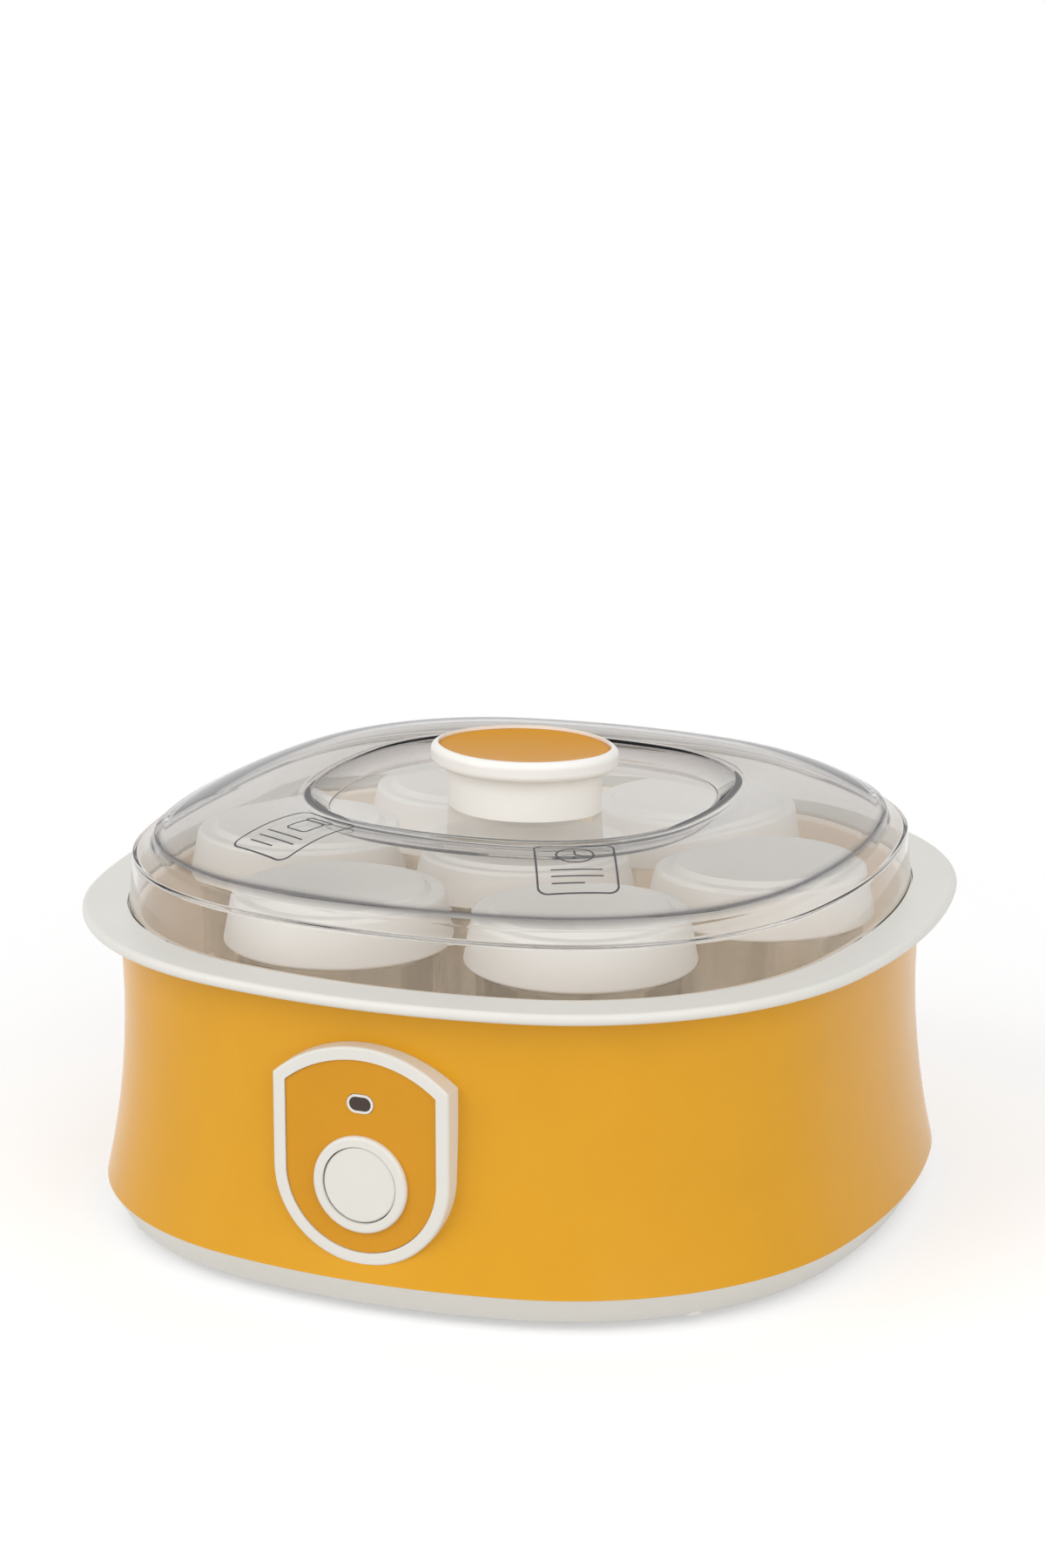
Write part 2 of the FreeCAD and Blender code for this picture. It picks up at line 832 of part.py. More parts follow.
def make_internal_leads():
    """Leads from the terminal block to the heater, the thermostat and the control board."""
    poles = lead_poles()
    blade_z = thermostat_top() - thermostat_height - blade_length / 2
    blade_end = V(thermostat_radius / 2, lead_radius - thermostat_offset, blade_z)
    left_tip, left_way = pin_tip(1)
    right_tip, right_way = pin_tip(-1)
    run_in = V(0, -lead_drop - way_depth, 0)
    leads = [
        lead([
            way_end(poles[0]),
            way_end(poles[0]) + run_in,
            left_tip + left_way * lead_bend * 2,
            left_tip,
        ]),
        lead([
            way_end(poles[1]),
            way_end(poles[1]) + run_in,
            V(-blade_end.x, left_tip.y, blade_z),
            V(-blade_end.x, blade_end.y, blade_z),
        ]),
        lead([
            right_tip,
            right_tip + right_way * lead_bend * 2,
            V(blade_end.x, right_tip.y - lead_drop, blade_z),
            blade_end,
        ]),
    ]
    floor_z = pan_floor_z + seat_gap + lead_radius
    board_at = -board_back - seat_gap
    for pole in poles[2:]:
        leads.append(lead([
            way_end(pole),
            way_end(pole) + run_in,
            V(pole, way_end(pole).y + 2 * run_in.y, floor_z),
            V(pole, board_at + lead_drop, floor_z),
            V(pole, board_at, floor_z + lead_drop),
            V(pole, board_at, board_low_z()),
        ]))
    return group(leads)


def make_terminal_screw():
    """Screw down through the terminal block into the pan's boss."""
    seat = block_place() + UP * (pan_floor_z + seat_gap + block_height)
    length = block_height + seat_gap - screw_gap
    return screw(clamp_screw_radius, length, screw_head_radius, screw_head_height, seat, -UP)


def make_panel_bezel():
    """Raised surround with a ledge for the plate and a spigot through the shell's window."""
    pocket = plate_fit - bezel_width
    face_ring = shield(0, panel_face, panel_face - 3 * panel_stand)
    rim = [edge for edge in face_ring.Edges if edge.BoundBox.YMax < seat_gap - panel_face]
    face_ring = face_ring.makeFillet(bezel_round, rim)
    face_ring = face_ring.cut(shield(pocket, panel_face + over, panel_face - 4 * panel_stand))
    face_ring = face_ring.cut(shell_band(seat_gap, -4 * panel_stand))
    spigot = shield(spigot_wall - bezel_width, panel_face, spigot_back)
    spigot = spigot.cut(shield(pocket, panel_face + over, plate_back - seat_gap))
    spigot = spigot.cut(shield(-bezel_width - plate_ledge, panel_face + over, spigot_back - over))
    bezel = face_ring.fuse(spigot).removeSplitter()
    for place in board_screw_places():
        front = spigot_back + board_screw_grip + over
        pilot = front_rod(board_screw_radius + screw_gap, front, spigot_back, place.z, place.x)
        bezel = bezel.cut(pilot)
    return bezel


def make_panel_plate():
    """Plate in the surround, with openings for the button's collar and the indicator."""
    plate = shield(-bezel_width, plate_front, plate_back)
    plate = plate.cut(front_rod(collar_radius + plate_fit, panel_face + over, spigot_back, button_z))
    width = lens_half_width + lens_border + plate_fit
    height = lens_half_height + lens_border + plate_fit
    return plate.cut(stadium(width, height, panel_face + over, spigot_back, lens_z))


def make_button_ring():
    """Collar round the button, let into the plate."""
    front = plate_front + collar_proud
    flange = front_rod(collar_flange_radius, front, plate_front + screw_gap, button_z)
    flange = flange.makeFillet(collar_round, front_edges(flange))
    barrel = front_rod(collar_radius, front - collar_round, collar_back, button_z)
    bore = front_rod(collar_bore, panel_face + panel_stand, collar_back - over, button_z)
    return flange.fuse(barrel).cut(bore).removeSplitter()


def front_edges(shape):
    """The closed edges that lie nearest the front."""
    front = shape.BoundBox.YMin + seat_gap
    return [edge for edge in shape.Edges if edge.isClosed() and edge.BoundBox.YMax < front]


def make_power_button():
    """Hollow button with a lip behind its collar and a stem for the switch's plunger."""
    front = plate_front + button_proud
    lip_front = collar_back - slide_gap
    lip_back = lip_front - button_lip
    head = front_rod(button_radius, front, lip_back, button_z)
    head = head.makeFillet(button_round, front_edges(head))
    lip = front_rod(collar_radius - plate_fit, lip_front, lip_back, button_z)
    hollow = front_rod(button_radius - button_skin, front - button_skin, lip_back - over, button_z)
    stem = front_rod(button_stem_radius, front - button_skin / 2, stem_back(), button_z)
    return head.fuse(lip).cut(hollow).fuse(stem).removeSplitter()


def stem_back():
    """Distance of the button's stem end from the axis: clear of the switch when pushed."""
    return switch_face + button_travel + slide_gap


def make_switch_plunger():
    """Plunger of the switch, which the button's stem pushes."""
    rear = board_front + button_travel + slide_gap
    return front_rod(plunger_radius, stem_back() - screw_gap, rear, button_z)


def make_push_switch():
    """Switch on the board, with a bore for its plunger."""
    half = switch_side / 2
    body = block(V(-half, -switch_face, button_z - half), V(half, -board_front - seat_gap, button_z + half))
    return body.cut(front_rod(plunger_radius + slide_gap, panel_face, spigot_back - spigot_depth, button_z))


def make_lens_bezel():
    """Thin pale border let into the plate."""
    width = lens_half_width + lens_border
    height = lens_half_height + lens_border
    border = stadium(width, height, plate_front + lens_proud, plate_back, lens_z)
    return border.cut(stadium(lens_half_width, lens_half_height, panel_face + over, spigot_back, lens_z))


def make_indicator_lens():
    """Dark window of the indicator."""
    width = lens_half_width - screw_gap
    height = lens_half_height - screw_gap
    return stadium(width, height, plate_front + lens_proud / 2, plate_back, lens_z)


def make_indicator_lamp():
    """Round lamp on the board behind the window."""
    top = plate_back - lamp_radius - slide_gap
    body = front_rod(lamp_radius, top, board_front + seat_gap, lens_z)
    dome = Part.makeSphere(lamp_radius, V(0, -top, lens_z))
    rear = board_front + seat_gap
    foot = front_rod(lamp_radius + lamp_flange, rear + lamp_flange_thickness, rear, lens_z)
    return body.fuse(dome).fuse(foot).removeSplitter()


def board_screw_places():
    """Axes of the board's screws, in the middle of the spigot's side walls."""
    side = plate_half + (spigot_wall - plate_ledge) / 2
    levels = (button_z + board_margin, lens_z - board_margin)
    return [V(x, 0, z) for x in (-side, side) for z in levels]


def board_low_z():
    """Height of the board's lower edge."""
    return button_z - switch_side / 2 - board_margin / 2


def make_control_board():
    """Board across the back of the spigot."""
    half = plate_half + spigot_wall - slide_gap
    high_z = lens_z + board_top_margin
    board = block(V(-half, -board_front, board_low_z()), V(half, -board_back, high_z))
    for place in board_screw_places():
        radius = board_screw_radius + plate_fit
        board = board.cut(front_rod(radius, panel_face, board_back - over, place.z, place.x))
    return board


def make_board_screws():
    """Screws through the board into the spigot."""
    length = board_thickness + seat_gap + board_screw_grip
    seats = [place - IN * board_back for place in board_screw_places()]
    return group([
        screw(board_screw_radius, length, board_head_radius, board_head_height, seat, -IN)
        for seat in seats
    ])


def lid_outside(shrink, low_z):
    """Closed form of the lid without its dish, its walls moved inwards by shrink."""
    bend_z = shoulder_z - lid_shoulder_round - shrink
    wires = [outline(skirt_half - shrink, low_z), outline(shoulder_half - shrink, bend_z)]
    for step in range(1, bend_steps + 1):
        angle = math.radians(90 * step / bend_steps)
        inwards = lid_shoulder_round * (1 - math.cos(angle))
        rise = lid_shoulder_round * math.sin(angle)
        wires.append(outline(shoulder_half - shrink - inwards, bend_z + rise))
    wires.append(outline(riser_half - shrink, riser_z - shrink))
    wires.append(outline(plateau_half - shrink, plateau_z - shrink))
    wires += [dome_wire(step / dome_steps, shrink) for step in range(1, dome_steps + 1)]
    return stack(wires)


def dome_wire(share, shrink):
    """Section of the crowned top, from the plateau's edge (share 0) to the dish's edge (share 1)."""
    edge_grow = plateau_half - waist_half
    dish_share = dish_half / waist_half
    half = plateau_half + share * (dish_half - plateau_half)
    corner = corner_radius + edge_grow + share * (corner_radius * dish_share - corner_radius - edge_grow)
    bow = side_bow + edge_grow + share * (side_bow * dish_share - side_bow - edge_grow)
    rise = dome_rise * share + 4 * dome_bulge * share * (1 - share)
    inset = shrink * (1 - share)
    return bowed_wire(half - inset, corner - inset, bow - inset, plateau_z + rise - shrink)


def dish(grow, above):
    """The recess round the knob, its walls moved outwards by grow."""
    return stack([
        similar(dish_floor_half + grow, dish_floor_z - grow),
        similar(dish_half + grow, dish_edge_z - grow),
        similar(dish_half + grow, dish_edge_z + above),
    ])


def make_lid_shell():
    """Clear lid: skirt, stepped shoulder, crowned top and a dish with holes for the knob's screws."""
    outside = lid_outside(0, lid_bottom_z).cut(dish(0, dome_rise))
    inside = lid_outside(lid_wall, lid_bottom_z - lid_wall).cut(dish(lid_wall, dome_rise))
    lid = outside.cut(inside)
    for side in (-1, 1):
        axis = V(side * knob_screw_at, 0, 0)
        lid = lid.cut(rod(knob_screw_radius + slide_gap, axis, axis + UP * dish_edge_z))
    return lid


def make_knob_body():
    """Oval knob: hollow stem with screw bosses, wide head with a pocket for the inset."""
    head = slab(knob_oval(0, knob_under_z), knob_thickness)
    rims = [edge for edge in head.Edges if abs(edge.BoundBox.ZMax - edge.BoundBox.ZMin) < seat_gap]
    head = head.makeFillet(knob_round, rims)
    stem = slab(knob_oval(stem_inset, stem_bottom_z), stem_height + knob_round)
    knob = head.fuse(stem)
    knob = knob.cut(slab(knob_oval(knob_lip, knob_top_z - inset_recess - inset_thickness), knob_thickness))
    knob = knob.cut(slab(knob_oval(stem_inset + stem_wall, stem_bottom_z), stem_height - stem_wall))
    for side in (-1, 1):
        axis = V(side * knob_screw_at, 0, 0)
        boss = rod(boss_radius, axis + UP * stem_bottom_z, axis + UP * (stem_bottom_z + stem_height))
        pilot_top = axis + UP * (stem_bottom_z + knob_screw_grip + seat_gap)
        pilot = rod(knob_screw_radius + screw_gap, axis, pilot_top)
        knob = knob.fuse(boss).cut(pilot)
    return knob.removeSplitter()


def make_knob_inset():
    """Plate let into the top of the knob."""
    low_z = knob_top_z - inset_recess - inset_thickness + screw_gap
    return slab(knob_oval(knob_lip + plate_fit, low_z), inset_thickness)


def make_knob_screws():
    """Screws up through the dish into the knob."""
    seat_z = dish_floor_z - lid_wall
    length = lid_wall + seat_gap + knob_screw_grip
    seats = [V(side * knob_screw_at, 0, seat_z) for side in (-1, 1)]
    return group([
        screw(knob_screw_radius, length, screw_head_radius, screw_head_height, seat, UP)
        for seat in seats
    ])


def make_jar():
    """Glass jar with a thick foot and a plain neck."""
    shoulder = jar_top_z - neck_height
    bore = neck_radius - jar_wall
    return turned_solid([
        (0, jar_bottom_z, 0),
        (jar_radius, jar_bottom_z, jar_foot_round),
        (jar_radius, shoulder - neck_inset, jar_wall),
        (neck_radius, shoulder, 0),
        (neck_radius, jar_top_z, jar_lip_round),
        (bore, jar_top_z, jar_lip_round),
        (bore, shoulder, 0),
        (jar_radius - jar_wall, shoulder - neck_inset, jar_wall),
        (jar_radius - jar_wall, jar_bottom_z + jar_floor, jar_foot_round),
        (0, jar_bottom_z + jar_floor, 0),
    ])


def make_jar_cap():
    """Plain push-on cap with a soft top edge."""
    return turned_solid([
        (0, cap_top_z, 0),
        (cap_radius, cap_top_z, cap_round),
        (cap_radius, cap_bottom_z, cap_edge_round),
        (cap_radius - cap_wall, cap_bottom_z, 0),
        (cap_radius - cap_wall, cap_under_z, 0),
        (0, cap_under_z, 0),
    ])


PIECES = {
    "rubber_feet": make_rubber_feet,
    "base_pan": make_base_pan,
    "base_screws": make_base_screws,
    "body_shell": make_body_shell,
    "top_rim": make_top_rim,
    "well_liner": make_well_liner,
    "heater_plate": make_heater_plate,
    "heating_element": make_heating_element,
    "element_clamps": make_element_clamps,
    "clamp_screws": make_clamp_screws,
    "thermostat": make_thermostat,
    "thermostat_screws": make_thermostat_screws,
    "cord_gland": make_cord_gland,
    "terminal_block": make_terminal_block,
    "terminal_screw": make_terminal_screw,
    "internal_leads": make_internal_leads,
    "panel_bezel": make_panel_bezel,
    "panel_plate": make_panel_plate,
    "button_ring": make_button_ring,
    "power_button": make_power_button,
    "switch_plunger": make_switch_plunger,
    "push_switch": make_push_switch,
    "lens_bezel": make_lens_bezel,
    "indicator_lens": make_indicator_lens,
    "indicator_lamp": make_indicator_lamp,
    "control_board": make_control_board,
    "board_screws": make_board_screws,
    "lid_shell": make_lid_shell,
    "knob_body": make_knob_body,
    "knob_inset": make_knob_inset,
    "knob_screws": make_knob_screws,
}

for name, make in PIECES.items():
    make().exportStep("parts/" + name + ".step")

for number, place in enumerate(jar_places(), start=1):
    make_jar().translated(place).exportStep("parts/jar_" + str(number) + ".step")
    make_jar_cap().translated(place).exportStep("parts/jar_cap_" + str(number) + ".step")
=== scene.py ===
import math

import bmesh
import bpy
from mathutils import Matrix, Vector
from mathutils.bvhtree import BVHTree


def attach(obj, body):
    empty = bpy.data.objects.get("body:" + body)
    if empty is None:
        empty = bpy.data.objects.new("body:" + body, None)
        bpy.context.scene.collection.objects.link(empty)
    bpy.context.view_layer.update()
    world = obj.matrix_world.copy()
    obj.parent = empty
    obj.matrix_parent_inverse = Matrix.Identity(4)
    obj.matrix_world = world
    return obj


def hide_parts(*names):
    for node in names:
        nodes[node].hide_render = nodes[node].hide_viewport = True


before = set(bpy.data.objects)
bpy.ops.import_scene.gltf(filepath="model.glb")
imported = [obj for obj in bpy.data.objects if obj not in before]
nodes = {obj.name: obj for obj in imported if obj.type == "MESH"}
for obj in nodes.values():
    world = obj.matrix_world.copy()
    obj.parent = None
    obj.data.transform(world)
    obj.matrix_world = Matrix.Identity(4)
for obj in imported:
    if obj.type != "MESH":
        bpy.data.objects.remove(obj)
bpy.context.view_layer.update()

MM = 0.001
NEAR_ZERO = 1e-6

# Plan outline of the body, in millimetres: a bowed square of four side arcs and four corner arcs
WAIST = 118.0
CORNER = 89.0
BOW = 213.5
SIDE_STEPS = 48
CORNER_STEPS = 72

# Lid, in millimetres; a pair is the outline's half width and the height
LID_WALL = 2.0
LID_BOTTOM = 98.1
SKIRT = 115.8
SHOULDER = (115.6, 115.7)
RISER = (108.9, 117.1)
PLATEAU = (107.4, 120.1)
DISH = (62.7, 129.6)
DISH_FLOOR = (58.5, 122.9)
SHOULDER_ROUND = 2.2
RISER_ROUND = 1.0
PLATEAU_ROUND = 0.8
DISH_ROUND = 0.7
DISH_FLOOR_ROUND = 3.2
FLOOR_MIDDLE = 34.0
FLOOR_INNER = 12.0
LID_ARC_STEPS = 7
LID_CRISP = 50

# Crown of the lid: its bulge in millimetres, and its rings as shares of the way in, closer at both ends
DOME_BULGE = 4.4
DOME_SHARES = [0.025, 0.05] + [step / 12 for step in range(1, 12)] + [0.95, 0.975]

# Painted shade on the lid: a darker tint that stands in for the dark lines at its corners and the greyer
# crown; its share on the crown, and the corners that have it with its reach in millimetres
DOME_PAINTED_SHADE = 0.12
PAINTED_SHADE_CORNERS = ((SHOULDER, 1.5), (PLATEAU, 2.0), (DISH, 1.1))

# Jars and caps, in millimetres and degrees
JAR_COUNT = 7
JAR_PITCH = 75.0
JAR_TURN = 5.0
JAR_BOTTOM = 34.3
JAR_TOP = 109.2
JAR_RADIUS = 32.0
JAR_INSIDE = 29.8
NECK_RADIUS = 30.8
NECK_INSIDE = 28.6
NECK_BOTTOM = 96.0
CAP_BOTTOM = 96.3
CAP_TOP = 111.3
CAP_RADIUS = 34.0
CAP_INSIDE = 31.2
CAP_CEILING = 109.3
CAP_SINK = 0.5
JAR_ARC_STEPS = 6
CAP_ARC_STEPS = 8
LATHE_STEPS = 96
JAR_CRISP = 40

# Sections of a jar and of a cap, in millimetres: radius, height and rounding of each corner
JAR_SECTION = [
    (0, JAR_BOTTOM + 1.6, 0),
    (22, JAR_BOTTOM + 1.2, 2),
    (25.5, JAR_BOTTOM, 1.2),
    (JAR_RADIUS, JAR_BOTTOM, 3.6),
    (JAR_RADIUS, NECK_BOTTOM - 1.2, 2.0),
    (NECK_RADIUS, NECK_BOTTOM, 0.6),
    (NECK_RADIUS, JAR_TOP, 0.8),
    (NECK_INSIDE, JAR_TOP, 0.8),
    (NECK_INSIDE, NECK_BOTTOM, 1.0),
    (JAR_INSIDE, NECK_BOTTOM - 2.0, 2.0),
    (JAR_INSIDE, JAR_BOTTOM + 4.0, 5.0),
    (0, JAR_BOTTOM + 4.4, 0),
]
CAP_SECTION = [
    (0, CAP_TOP - CAP_SINK, 0),
    (25.5, CAP_TOP - CAP_SINK, 1.5),
    (27.5, CAP_TOP, 2.5),
    (CAP_RADIUS, CAP_TOP, 3.0),
    (CAP_RADIUS, CAP_BOTTOM, 0.8),
    (CAP_INSIDE, CAP_BOTTOM, 0.3),
    (CAP_INSIDE, CAP_CEILING, 0.5),
    (0, CAP_CEILING, 0),
]

# Dished plate in the knob, in millimetres: each pair is an arc's offset from the middle and its radius
PLATE_END = (10.2, 17.1)
PLATE_SIDE = (6.71, 29.31)
PLATE_STEPS = 24
PLATE_BOTTOM = 140.6
PLATE_TOP = 141.9
PLATE_BEVEL = 0.3
PLATE_LIP = 0.985
PLATE_DISH = 1.1
PLATE_CURVE = 2.6
PLATE_RINGS = 17
PLATE_CRISP = 50

# Printed labels on the lid, in millimetres: middle x, middle y and turn in degrees
JAR_LABEL = (-42.5, -75.4, -23.4)
CLOCK_LABEL = (47.2, -76.0, 24.9)
LABEL_WIDTH = 23.0
LABEL_HEIGHT = 29.7
LABEL_ROUND = 3.0
LABEL_BARS = [
    [(-7.5, -3.6), (7.5, -3.6)],
    [(-7.5, -7.0), (7.5, -7.0)],
    [(-7.5, -10.4), (2, -10.4)],
]
INK_WIDTH = 0.6
INK_STEP = 1.2
INK_BOTTOM = 0.01
INK_TOP = 0.06
ABOVE_LID = 200

# Plastics: colour, roughness, spread of tone, scale of the grain, strength of the grain and shine
PLASTICS = {
    "orange_gloss": ((225, 163, 36), 0.2, 0.02, 500, 0.005, 0.22),
    "orange_panel": ((213, 148, 28), 0.3, 0.025, 500, 0.02, 0.25),
    "orange_inset": ((219, 151, 22), 0.25, 0.025, 500, 0.02, 0.03),
    "white_satin": ((227, 225, 218), 0.36, 0.01, 400, 0.02, 0.4),
    # Painted light: the knob's white is a lighter copy of the satin white, to make up for the light the knob
    # lacks
    "white_knob_painted_lighter": ((246, 244, 239), 0.36, 0.01, 400, 0.02, 0.4),
    "cap_white": ((248, 247, 243), 0.42, 0.01, 400, 0.02, 0.4),
    "tub_beige": ((238, 225, 209), 0.42, 0.03, 500, 0.05, 0.4),
    "lens_dark": ((58, 38, 29), 0.12, 0.1, 600, 0.05, 0.5),
    "lamp_red": ((190, 50, 40), 0.2, 0.06, 900, 0.12, 0.5),
    "rubber_grey": ((176, 174, 168), 0.7, 0.08, 1500, 0.35, 0.5),
    "inner_black": ((52, 52, 54), 0.5, 0.08, 1200, 0.25, 0.5),
    "terminal_white": ((226, 222, 210), 0.45, 0.03, 1000, 0.15, 0.5),
    "board_green": ((34, 92, 52), 0.4, 0.1, 1400, 0.25, 0.5),
    "lead_brown": ((98, 66, 46), 0.45, 0.08, 1400, 0.2, 0.5),
    "label_ink": ((58, 58, 62), 0.55, 0.12, 1500, 0.1, 0.5),
}
PLASTIC_GLOSS = (0.9, 1.1)
SKIN_DEPTH = 0.00002

# Metals: colour and roughness; their drawn marks are stretched along the height
METALS = {
    "heater_aluminium": ((205, 205, 208), 0.34),
    "steel": ((176, 176, 180), 0.28),
}
METAL_TONES = (0.86, 1.1)
METAL_GLOSS = (0.75, 1.3)
MARK_STRETCH = (1, 1, 30)
MARK_STRENGTH = 0.15
MARK_DEPTH = 0.00003

# Clear materials: tint, painted shade tint of the marked corners, refraction, roughness and opacity
CLEARS = {
    "lid_clear": ((230, 227, 224), (40, 42, 54), 1.25, 0.02, 1.0),
    "jar_glass": ((250, 251, 249), (214, 220, 214), 1.45, 0.015, 0.5),
}
CLEAR_CLOUD = 0.985
CLEAR_GLOSS = (0.7, 1.3)

# Share of shadow and diffuse light that each surface of a cap lets through
CAP_PASSING = (0.96, 0.955, 0.945, 1)

# CAD nodes that wear each material
NODE_MATERIALS = {
    "orange_gloss": ["body_shell"],
    "orange_panel": ["panel_plate"],
    "orange_inset": ["knob_inset"],
    "white_satin": [
        "base_pan", "top_rim", "cord_gland", "panel_bezel", "button_ring", "power_button", "lens_bezel",
    ],
    "white_knob_painted_lighter": ["knob_body"],
    "cap_white": ["jar_cap_%d" % number for number in range(1, JAR_COUNT + 1)],
    "tub_beige": ["well_liner"],
    "lens_dark": ["indicator_lens"],
    "lamp_red": ["indicator_lamp"],
    "rubber_grey": ["rubber_feet"],
    "inner_black": ["thermostat", "switch_plunger", "push_switch"],
    "terminal_white": ["terminal_block"],
    "board_green": ["control_board"],
    "lead_brown": ["internal_leads"],
    "heater_aluminium": ["heater_plate", "element_clamps"],
    "steel": [
        "base_screws", "heating_element", "clamp_screws", "thermostat_screws", "terminal_screw",
        "board_screws", "knob_screws",
    ],
    "lid_clear": ["lid_shell"],
    "jar_glass": ["jar_%d" % number for number in range(1, JAR_COUNT + 1)],
}

# Floor, in metres: two pale tones, its own glow where it is seen, and where it fades to white
FLOOR_SIZE = 4.0
FLOOR_CELLS = 8
FLOOR_TONES = ((0.70, 0.70, 0.70, 1), (0.72, 0.72, 0.72, 1))
FLOOR_ROUGH = 0.7
FLOOR_SHINE = 0.2
FLOOR_GLOW = 0.42
FADE_START = 0.22
FADE_END = 0.5

# Studio: strength of the white world as light, and where the camera sees it
WORLD_LIGHT = 0.4
WORLD_SEEN = 1.0

# Lamps: name, place, target and size in metres, and power in watts
LAMPS = (
    ("key", (-1.1, -1.45, 1.0), (0, 0, 0.06), (1.9, 1.9), 20.5),
    ("fill", (1.4, -1.0, 0.9), (0, 0, 0.08), (1.8, 1.7), 16.5),
    ("top", (0.1, 0.2, 1.6), (0, 0, 0.1), (1.6, 1.6), 4.5),
)

# Camera: angles in degrees, distances in metres, sensor and lens in millimetres
CAMERA_AZIMUTH = 22.38
CAMERA_ELEVATION = 14.72
CAMERA_DISTANCE = 1.206
CAMERA_TARGET = (-0.0006, -0.0002, 0.1298)
CAMERA_SENSOR = 36.0
CAMERA_LENS = 134.7
CAMERA_NEAR = 0.05


def linear(red, green, blue):
    """Colour written as 0 to 255, as the shader's own values."""
    def channel(value):
        value = value / 255
        return value / 12.92 if value <= 0.04045 else ((value + 0.055) / 1.055) ** 2.4
    return (channel(red), channel(green), channel(blue), 1.0)


def bowed(half, corner, bow):
    """Points of a bowed square, anticlockwise, as (x, y)."""
    back = bow - half
    reach = (math.sqrt(2 * (bow - corner) ** 2 - back ** 2) - back) / 2
    joint = math.atan2(reach, reach + back)
    points = []
    for quarter in range(4):
        turn = quarter * math.pi / 2
        for step in range(SIDE_STEPS):
            angle = turn - joint + 2 * joint * step / SIDE_STEPS
            points.append((
                bow * math.cos(angle) - back * math.cos(turn),
                bow * math.sin(angle) - back * math.sin(turn),
            ))
        sweep = math.pi / 2 - 2 * joint
        middle = turn + math.pi / 4
        for step in range(CORNER_STEPS):
            angle = turn + joint + sweep * step / CORNER_STEPS
            points.append((
                corner * math.cos(angle) + reach * math.sqrt(2) * math.cos(middle),
                corner * math.sin(angle) + reach * math.sqrt(2) * math.sin(middle),
            ))
    return points


def outline_ring(half, z, scaled=0.0):
    """Ring of the plan outline at a height: an even offset of the body, or its scaled copy."""
    grow = half - WAIST
    share = half / WAIST
    corner = (1 - scaled) * (CORNER + grow) + scaled * CORNER * share
    bow = (1 - scaled) * (BOW + grow) + scaled * BOW * share
    return [Vector((x, y, z)) * MM for x, y in bowed(half, corner, bow)]


def soften(corners, steps):
    """Polyline through (x, z, radius) corners, with an arc in place of each corner that has a radius."""
    line = []
    last = len(corners) - 1
    for index, (x, z, radius) in enumerate(corners):
        here = Vector((x, z))
        if radius == 0 or index in (0, last):
            line.append(here)
            continue
        before = (Vector(corners[index - 1][:2]) - here).normalized()
        after = (Vector(corners[index + 1][:2]) - here).normalized()
        half_angle = before.angle(after) / 2
        cut = radius / math.tan(half_angle)
        centre = here + (before + after).normalized() * (radius / math.sin(half_angle))
        start = here + before * cut - centre
        end = here + after * cut - centre
        for step in range(steps + 1):
            line.append(centre + start.slerp(end, step / steps))
    return line


def add_object(name, data):
    """Links a mesh, a light or a camera as a new object."""
    obj = bpy.data.objects.new(name, data)
    bpy.context.scene.collection.objects.link(obj)
    return obj


def mesh_object(name, form, smooth=True):
    """New object from a built form, with its faces turned outwards."""
    bmesh.ops.recalc_face_normals(form, faces=form.faces)
    mesh = bpy.data.meshes.new(name)
    form.to_mesh(mesh)
    form.free()
    for face in mesh.polygons:
        face.use_smooth = smooth
    return add_object(name, mesh)


def bridge(form, low, high):
    """Faces between two closed rows of points; a row of one point is a pole."""
    count = max(len(low), len(high))
    for index in range(count):
        following = (index + 1) % count
        corners = [
            low[index % len(low)],
            low[following % len(low)],
            high[following % len(high)],
            high[index % len(high)],
        ]
        form.faces.new(list(dict.fromkeys(corners)))


def loft(form, rings, loop=False, cap_ends=False):
    """Adds faces through rings of equally many points; loop joins the last ring to the first."""
    rows = [[form.verts.new(point) for point in ring] for ring in rings]
    for low, high in zip(rows, rows[1:]):
        bridge(form, low, high)
    if loop:
        bridge(form, rows[-1], rows[0])
    if cap_ends:
        form.faces.new(list(reversed(rows[0])))
        form.faces.new(rows[-1])


def crisp(obj, degrees):
    """Smooth shading that keeps edges sharper than an angle."""
    obj.data.set_sharp_from_angle(angle=math.radians(degrees))


def lathe(name, profile, centre):
    """Turned piece from a (radius, z) profile about a vertical axis, in millimetres."""
    form = bmesh.new()
    rows = []
    for radius, z in profile:
        row = []
        for step in range(LATHE_STEPS if radius > NEAR_ZERO else 1):
            angle = 2 * math.pi * step / LATHE_STEPS
            point = (centre[0] + radius * math.cos(angle), centre[1] + radius * math.sin(angle), z)
            row.append(form.verts.new(Vector(point) * MM))
        rows.append(row)
    for low, high in zip(rows, rows[1:]):
        bridge(form, low, high)
    return mesh_object(name, form)


